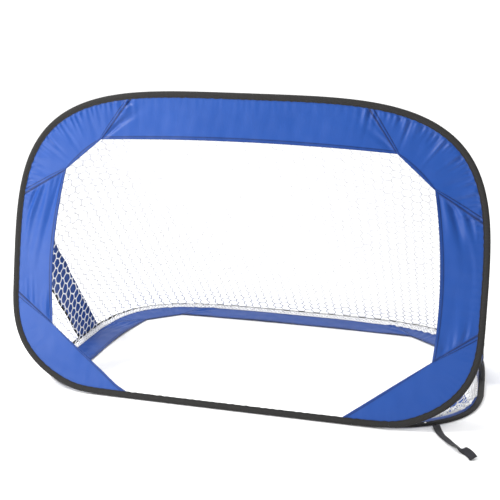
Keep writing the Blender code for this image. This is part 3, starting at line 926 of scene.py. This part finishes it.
def add_meshwork(name, cells, size, strand, place):
    """Knotless netting: each strand is a rounded cord that joins its neighbours. The cells are
    the meshes' middles, and place puts flat points and heights above the net in space."""
    ring, inward = mesh_outline(*size)
    count, around = len(cells), len(ring)
    centre = cells[:, None, :] + ring[None]
    keys = np.round(centre.reshape(-1, 2) / 1e-5).astype(np.int64)
    _, first_use, shared = np.unique(keys, axis=0, return_index=True, return_inverse=True)
    shared = shared.reshape(count, around)
    welded = centre.reshape(-1, 2)[first_use]
    own = np.arange(count * around).reshape(count, around)
    flat, heights, index, total = [], [], [], 0
    for move, up in ((0.0, 1.0), (0.62, 0.72), (1.0, 0.0), (0.62, -0.72), (0.0, -1.0)):
        level = welded if move == 0.0 else (centre + strand * move * inward).reshape(-1, 2)
        index.append((shared if move == 0.0 else own) + total)
        flat.append(level)
        heights.append(np.full(len(level), 0.66 * strand * up))
        total += len(level)
    flat = np.concatenate(flat)
    points, shares = place(flat[:, 0], flat[:, 1], np.concatenate(heights))
    steps = np.linalg.norm(np.roll(ring, -1, 0) - ring, axis=1)
    turns = np.concatenate([[0.0], np.cumsum(steps)]) / 0.0042
    quads, corner_uv = [], []
    for k, (upper, lower) in enumerate(zip(index, index[1:])):
        quads.append(np.stack([upper, np.roll(upper, -1, 1), np.roll(lower, -1, 1), lower], -1))
        ends = [(turns[:-1], k), (turns[1:], k), (turns[1:], k + 1), (turns[:-1], k + 1)]
        one = np.stack([np.stack([u, np.full(around, v / 2)], -1) for u, v in ends], 1)
        corner_uv.append(np.broadcast_to(one, (count, around, 4, 2)))
    pairs = np.stack([shared.ravel(), np.roll(shared, -1, 1).ravel()], 1)
    _, back, uses = np.unique(np.sort(pairs, 1), axis=0, return_index=True, return_counts=True)
    rim = pairs[back[uses == 1]]
    low = index[-1].min()
    quads.append(np.stack([rim[:, 1], rim[:, 0], rim[:, 0] + low, rim[:, 1] + low], 1))
    corner_uv.append(np.zeros((len(rim), 4, 2)))
    quads = np.concatenate([q.reshape(-1, 4) for q in quads])
    corner_uv = np.concatenate([q.reshape(-1, 4, 2) for q in corner_uv])
    faced = outward(points, quads)
    if faced is not quads:
        corner_uv = corner_uv[:, ::-1]
    thing = add_mesh(name, points, faced, NET)
    layer = thing.data.uv_layers.new(name="cloth")
    layer.data.foreach_set("uv", np.ascontiguousarray(corner_uv, np.float32).ravel())
    return thing, shares


def net_cells(surface, first, last):
    """Middles of the net's meshes whose column lies between two places round the net."""
    cells = []
    for column in range(int(surface.c[-1] / MESH_SPACING) + 1):
        c = (column + 0.5) * MESH_SPACING
        if not first <= c < last:
            continue
        low, high = np.interp(c, surface.c, surface.low), np.interp(c, surface.c, surface.high)
        shift = MESH_PITCH / 2 * (column % 2)
        start = math.ceil((low - 0.030 - shift) / MESH_PITCH)
        for row in range(start, int((high + 0.012 - shift) / MESH_PITCH) + 1):
            cells.append((c, row * MESH_PITCH + shift))
    return np.array(cells)


def add_hem(loop, top, gathers):
    """The net's white hem, sewn to the back of the cloth, with the last meshes squeezed on it. On
    the lying loop it spreads further in at the right, and is bunched at the feet of the straps."""
    start = distance_at(GROUND_HEM_START if loop is GROUND else HEM_START)
    distances = np.arange(start, PERIMETER - start, 0.0016)[:, None]
    share = np.linspace(-1.0, 1.0, 21)[None, :]
    near = np.minimum(distances, PERIMETER - distances) - distance_at(0.0)
    inner, tall = HEM_INNER, 0.55 * (top - HEM_BASE)
    bunched = np.zeros(distances.shape)
    if loop is GROUND:
        bunched = smooth((near - 0.03) / 0.03) * smooth((BRACE_HIGH + 0.05 - near) / 0.05)
        inner = inner + 0.003 + HEM_SPREAD * smooth((0.72 - distances / PERIMETER) / 0.45)
        tall = (0.95 + 0.85 * bunched) * (top - HEM_BASE)
    middle, reach = (inner + HEM_OUTER) / 2, (inner - HEM_OUTER) / 2
    from_end = np.minimum(distances - start, PERIMETER - start - distances)
    reach = reach * (0.25 + 0.75 * smooth(from_end / 0.04))
    wobble = 0.0007 * ripple(distances, 0.0, 0.022, loop.seed + 21)
    inset = middle + reach * share + wobble * (1 - share * share)
    uv = edge(distances, inset)
    base = gathers.height(uv) + CLOTH_HALF + 0.0007
    if loop is GROUND:
        base = lying_low(base)
    dome = np.sqrt(np.clip(1 - np.abs(share) ** 2.6, 0.0, 1.0)) * (1 - 0.4 * smooth(share + 0.3))
    drift = 0.35 * ripple(distances, 0.0, 0.09, loop.seed + 22)
    lean = 0.55 * reach / 0.0065
    crossed = [np.abs((distances / 0.0125 + drift + way * share * lean) % 1.0 - 0.5) * 2
               for way in (-1, 1)]
    crossing = np.maximum(*crossed)
    strand = smooth((crossing - 0.15) / 0.45)
    rise = tall * dome * (0.5 - 0.2 * bunched + (0.5 + 0.2 * bunched) * strand) + 0.00015
    uv_map = np.stack([np.broadcast_to(distances, inset.shape), inset], -1)
    # Painted shade: the hem's hollows between the squeezed meshes are marked to turn near black.
    painted_hollow_shade = (1 - smooth((crossing - 0.25) / 0.3)) * np.minimum(dome * 1.5, 1.0)
    thing = add_sheet(f"{loop.name}_net_edging", loop.place(uv, base), loop.place(uv, base + rise),
                      HEM, uv_map, painted_hollow_shade)
    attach(thing, loop.body)
    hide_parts(f"{loop.name}_net_hem")
    return thing


def add_slack(name, flip):
    """Slack net at a front corner, heaped in soft folds against the lying loop's binding."""
    start, end = distance_at(HEM_START) + 0.004, distance_at(GROUND_HEM_START) + 0.035
    length, deep = end - start, SLACK_DEPTH
    cells = [((column + 0.5) * SLACK_SPACING, SLACK_PITCH * (row + 0.5 * (column % 2)))
             for column in range(int(length / SLACK_SPACING))
             for row in range(1, int(deep / SLACK_PITCH))]

    def place(c, t, off):
        s, v = np.clip(c / length, 0, 1), np.clip(t / deep, 0, 1)
        full = smooth(s / 0.14) * (0.25 + 0.75 * smooth((1 - s) / 0.45))
        bend = ripple(c, 0.03 * v, 0.060, 31 + flip)
        crease = ripple(c, 0.05 * v, 0.026, 33 + flip)
        roll = 2.6 * math.pi * v
        reach = 0.0076 * full * (1 + 0.25 * bend)
        inset = 0.0198 + reach * np.cos(roll) * (1 - 0.4 * v) + 0.004 * crease * full * v
        inset = inset + 0.006 * (1 - full) * v
        w = 0.0035 + 0.014 * full * v + 0.55 * reach * (1 - np.cos(roll + 0.8)) * (1 - v)
        w = w + 0.0035 * full * v * np.maximum(crease + bend, -0.6) + off
        d = start + c + 0.005 * crease * v
        return GROUND.place(edge(PERIMETER - d if flip else d, inset), w), None

    size = (SLACK_SPACING, SLACK_PITCH, SLACK_ZIGZAG)
    thing = add_meshwork(name, np.array(cells), size, SLACK_STRAND_HALF, place)[0]
    # Painted light: the slack takes the hem's brighter white instead of the net's own, to lift it out of the
    # front loop's shade.
    thing.data.materials[0] = HEM
    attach(thing, "ground_frame")
    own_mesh(thing)


def add_nets(hems):
    """The net in two halves, which meet down the middle of its back."""
    surface = NetSurface()
    middle = round(surface.c[-1] / 2 / MESH_SPACING) * MESH_SPACING
    size = (MESH_SPACING, MESH_PITCH, MESH_ZIGZAG)
    halves = (("net_right_half", 0.0, middle, ("right_net", "rear_net")),
              ("net_left_half", middle, surface.c[-1], ("left_net", "rear_net")))
    for name, first, last, nodes in halves:
        cells = net_cells(surface, first, last)
        thing, shares = add_meshwork(name, cells, size, STRAND_HALF, surface.place)
        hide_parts(*nodes)
        fold_between(thing, fan_share(shares))
    add_slack("net_slack_right", False)
    add_slack("net_slack_left", True)


# ---- side straps


def add_brace(side, flip, belly_depth):
    """A side strap of blue cloth, bellied outwards, hemmed above and bound in tape below."""
    sign, rise = (-1.0, -BRACE_RISE) if flip else (1.0, BRACE_RISE)
    x = np.linspace(0.0, 1.0, 190)[:, None]
    widest = distance_at(0.0)
    span = BRACE_HIGH - BRACE_LOW - GAP

    def surface(across, off):
        """Points of the strap at shares across it, 0 at the cloth's lower edge, 1 at its top."""
        d = widest + BRACE_LOW + GAP + span * across
        d = PERIMETER - d if flip else d
        lift = np.full(len(d), BINDING_HALF + GAP + 0.0008)
        ground = GROUND.place(edge(d, BRACE_INSET), lift)
        front = FRONT.place(edge(d + rise, BRACE_INSET), lift)
        point = ground[None] + (front - ground)[None] * x[..., None]
        free = smooth(x / 0.12) * smooth((1 - x) / 0.12)
        s = np.clip(across, 0.0, 1.0)[None]
        height = np.where(s < 0.36, s / 0.36, (1 - s) / 0.64)
        belly = belly_depth * np.sin(math.pi / 2 * height) * free
        waves = 0.0014 * free * ripple(x * 0.7, s * 0.12, 0.10, 71 + flip)
        return point + np.array([sign, 0, 0]) * (belly + waves + off)[..., None]

    def strip(name, across, half, material, doubled_and_shade=None):
        flat = np.stack(np.broadcast_arrays(x * BRACE_LENGTH, across[None] * span), -1)
        thing = add_sheet(name, surface(across, half), surface(across, -half), material, flat, doubled_and_shade)
        share = np.broadcast_to(fan_share(x), (len(x), len(across))).ravel()
        return fold_between(thing, np.concatenate([share, share]))

    across = np.concatenate([np.linspace(0.0, 0.88, 26), [0.90, 0.91, 0.92, 0.95, 0.985, 1.0]])
    # Painted shade: the mark darkens the doubled hem along the strap's top edge.
    doubled_and_shade = np.broadcast_to(np.where(across > 0.90, 0.6, 0.0)[None], (len(x), len(across)))
    half = np.where(doubled_and_shade > 0, HEMMED_BRACE_HALF, CLOTH_HALF)
    strap = strip(f"{side}_brace_cloth", across, half, CLOTH, doubled_and_shade)
    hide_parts(f"{side}_brace_strap")
    across = (np.array(BRACE_TAPE_ROWS) - BRACE_LOW) / span
    tape = strip(f"{side}_brace_tape", across, np.array([BRACE_TAPE_HALF] * len(x)), TAPE)
    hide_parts(f"{side}_brace_binding")


# ---- tether, rivet, hinge tape


def tether_line():
    """Points and turns along the tether, on a Catmull-Rom curve through its route."""
    knots = [(Vector(point), math.radians(turn)) for point, turn in TETHER_ROUTE]
    knots = [knots[0]] + knots + [knots[-1]]
    steps, route = 16, []
    for (p0, t0), (p1, t1), (p2, t2), (p3, t3) in zip(knots, knots[1:], knots[2:], knots[3:]):
        for i in range(steps):
            s = i / steps
            weights = (-s + 2 * s**2 - s**3, 2 - 5 * s**2 + 3 * s**3,
                       s + 4 * s**2 - 3 * s**3, -(s**2) + s**3)
            point = sum((w * p for w, p in zip(weights, (p0, p1, p2, p3))), Vector()) / 2
            turn = sum(w * t for w, t in zip(weights, (t0, t1, t2, t3))) / 2
            route.append((point, turn))
    route.append(knots[-1])
    return route


def add_tether():
    """Webbing sewn into the binding. It rolls from one edge to the other, and its end is folded
    back and sewn with a box."""
    route = tether_line()
    last = len(route) - 1
    across_share = np.array([-1.0, -0.985, -0.93, -0.6, -0.2, 0.2, 0.6, 0.93, 0.985, 1.0])
    edge_half = np.array([0.25, 0.7, 1.0, 0.94, 0.97, 0.97, 0.94, 1.0, 0.7, 0.25])
    top, bottom, flat, frames, run = [], [], [], [], 0.0
    for i, (middle, turn) in enumerate(route):
        along = route[min(i + 1, last)][0] - route[max(i - 1, 0)][0]
        across = along.cross(Vector((0, 0, 1))).normalized()
        across = Matrix.Rotation(turn, 3, along) @ across
        up = across.cross(along).normalized()
        if i:
            run += (middle - route[i - 1][0]).length
        double = float(smooth((i / last - TETHER_HEM_START + 0.008) / 0.012))
        half = (TETHER_THICKNESS + (TETHER_HEM_THICKNESS - TETHER_THICKNESS) * double) / 2
        half *= 0.55 if i == last else 1.0
        middle, across, up = (np.array(v) for v in (middle, across, up))
        row = middle + across_share[:, None] * TETHER_WIDTH / 2 * across
        top.append(row + (half * edge_half)[:, None] * up)
        bottom.append(row - (half * edge_half)[:, None] * up)
        flat.append(np.stack([np.full(len(across_share), run), across_share * TETHER_WIDTH / 2], 1))
        frames.append((middle, across, up, unit(np.array(along)), half, run))
    strap = add_sheet("tether_webbing", np.array(top), np.array(bottom), WEBBING, np.array(flat))
    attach(strap, "tether")
    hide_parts("tether_strap")
    box = [f for f in frames if f[5] > run * TETHER_HEM_START + 0.003 and f[5] < run - 0.004]
    rows = []
    sides = (box[::2], (-0.36, 0.36), True)
    ends = ((box[0], box[-1]), np.linspace(-0.3, 0.3, 5), False)
    for some, places, lengthwise in (sides, ends):
        for middle, across, up, along, half, _ in some:
            for place in places:
                for face in (-1, 1):
                    spot = middle + across * TETHER_WIDTH * place + up * face * half
                    rows.append((spot, along if lengthwise else across, up * face))
    stitches = add_stitches("tether_stitches", rows, 0.0018, 0.00028, BLACK_THREAD)
    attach(stitches, "tether")


def add_rivet():
    """A small domed rivet with a dimple in its head."""
    profile = ((0.0, 0.00075), (0.0005, 0.00085), (0.0010, 0.00120), (0.0016, 0.00118),
               (0.0022, 0.00085), (0.00255, 0.00040), (0.00262, 0.0), (0.0020, 0.0))
    sides = 32
    uv = edge(np.array(distance_at(RIVET_ANGLE)), RIVET_INSET)
    middle = GROUND.place(uv, np.array(BINDING_HALF + GAP))
    turn = 2 * math.pi * np.arange(sides) / sides
    ring = np.stack([np.cos(turn), np.sin(turn), 0 * turn], 1)
    points = [middle + radius * ring + np.array([0, 0, lift]) for radius, lift in profile[1:]]
    end, hub = (len(points) - 1) * sides, len(points) * sides
    points = np.concatenate(points + [[middle + np.array([0, 0, profile[0][1]])], [middle]])
    quads = [(low + i, low + (i + 1) % sides, low + sides + (i + 1) % sides, low + sides + i)
             for low in range(0, end, sides) for i in range(sides)]
    for i in range(0, sides, 2):
        j, k = i + 1, (i + 2) % sides
        quads += [(hub, k, j, i), (hub + 1, end + i, end + j, end + k)]
    rivet = add_mesh("tether_rivet_head", points, np.array(quads), NICKEL, sharp=70)
    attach(rivet, "ground_frame")
    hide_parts("tether_rivet")


def add_hinge_tape():
    """The ribbed tape that both bindings are sewn to, upright between their straight runs. Its
    lower edge is cut away at both ends."""
    x = np.linspace(-RUN_HALF, RUN_HALF, 260)[:, None]
    low = GAP + 0.0050 * smooth((np.abs(x) - RUN_HALF + 0.05) / 0.05)
    z = low + (HINGE_HEIGHT - GAP - low) * np.linspace(0.0, 1.0, 7)[None, :]
    wave = 0.00012 * ripple(x, z, 0.03, 90)
    middle = TAPE_FRONT + TAPE_THICKNESS / 2 + wave
    half = TAPE_THICKNESS / 2 * (1 - 0.5 * (np.abs(z / HINGE_HEIGHT - 0.5) * 2) ** 6)
    x, z, middle = np.broadcast_arrays(x, z, middle)
    front, back = (np.stack([x, middle + s * half, z], -1) for s in (-1, 1))
    tape = add_sheet("hinge_tape_ribbed", front, back, TAPE, np.stack([x, z], -1))
    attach(tape, "ground_frame")
    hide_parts("hinge_tape")


def finish_steel():
    """The hidden wire and its ferrules keep their CAD shape and get a drawn steel finish."""
    for name in ("front_wire", "front_ferrule", "ground_wire", "ground_ferrule"):
        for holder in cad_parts[name].material_slots:
            holder.material = STEEL


# ---- stage


def add_floor():
    points = 30.0 * np.array([(-1, -1, 0), (1, -1, 0), (1, 1, 0), (-1, 1, 0)], float)
    add_mesh("floor", points, np.array([(0, 1, 2, 3)]), floor_material())


def add_area_light(name, place, target, size, power):
    light = bpy.data.lights.new(name, "AREA")
    light.shape, light.size, light.energy = "DISK", size, power
    thing = add_object(name, light)
    thing.location = place
    thing.rotation_euler = (Vector(target) - Vector(place)).to_track_quat("-Z", "Y").to_euler()


def add_light():
    """A white studio: it is brighter behind the goal, and its backdrop shows plain white all round."""
    n = Nodes("studio", world=True)
    toward = n.split(n.add("ShaderNodeTexCoord").outputs["Generated"])["Y"]
    share = n.add("ShaderNodeMapRange", Value=toward, From_Min=-0.3, From_Max=0.7, To_Min=0.34,
                  To_Max=1.0)
    camera_ray = n.add("ShaderNodeLightPath").outputs["Is Camera Ray"]
    n.set(n.shader, "Strength", n.math("MAXIMUM", share.outputs["Result"], camera_ray))
    n.set(n.shader, "Color", (1.0, 1.0, 1.0))
    bpy.context.scene.world = n.holder
    overhead = bpy.data.lights.new("overhead", "SUN")
    overhead.energy = 1.5
    overhead.angle = math.radians(75)
    add_object("overhead", overhead)
    add_area_light("key", (-1.5, -1.0, 2.0), (0.05, 0.05, 0.5), 0.7, 40.0)
    add_area_light("low", (-1.9, -2.1, 0.35), (-0.55, 0.0, 0.25), 1.4, 38.0)
    bpy.context.scene.view_settings.view_transform = "Standard"
    bpy.context.scene.view_settings.exposure = 0.15


def add_camera():
    """The camera stands in front of the goal, right of its middle, and looks down and left."""
    camera = bpy.data.cameras.new("camera")
    camera.lens = CAMERA_LENS
    camera.sensor_width = 36.0
    camera.clip_end = 200.0
    level = Vector((math.cos(CAMERA_YAW), -math.sin(CAMERA_YAW), 0))
    flat = Vector((math.sin(CAMERA_YAW), math.cos(CAMERA_YAW), 0)) * math.cos(CAMERA_PITCH)
    ahead = flat + Vector((0, 0, -math.sin(CAMERA_PITCH)))
    rise = level.cross(ahead)
    right = math.cos(CAMERA_ROLL) * level + math.sin(CAMERA_ROLL) * rise
    up = -math.sin(CAMERA_ROLL) * level + math.cos(CAMERA_ROLL) * rise
    turn = Matrix((right, up, -ahead)).transposed()
    thing = add_object("camera", camera)
    thing.matrix_world = Matrix.Translation(CAMERA_PLACE) @ turn.to_4x4()
    bpy.context.scene.camera = thing


add_camera()
add_light()
add_floor()
finish_steel()
front_gathers = Gathers(FRONT, 1.0)
ground_gathers = Gathers(GROUND, 0.8)
for goal_loop in (FRONT, GROUND):
    add_binding(goal_loop)
add_border(FRONT, "top", front_gathers)
add_border(GROUND, "rear", ground_gathers)
add_nets([add_hem(FRONT, FRONT_HEM_TOP, front_gathers),
          add_hem(GROUND, GROUND_HEM_TOP, ground_gathers)])
add_brace("right", False, 0.0005)
add_brace("left", True, 0.012)
add_tether()
add_rivet()
add_hinge_tape()
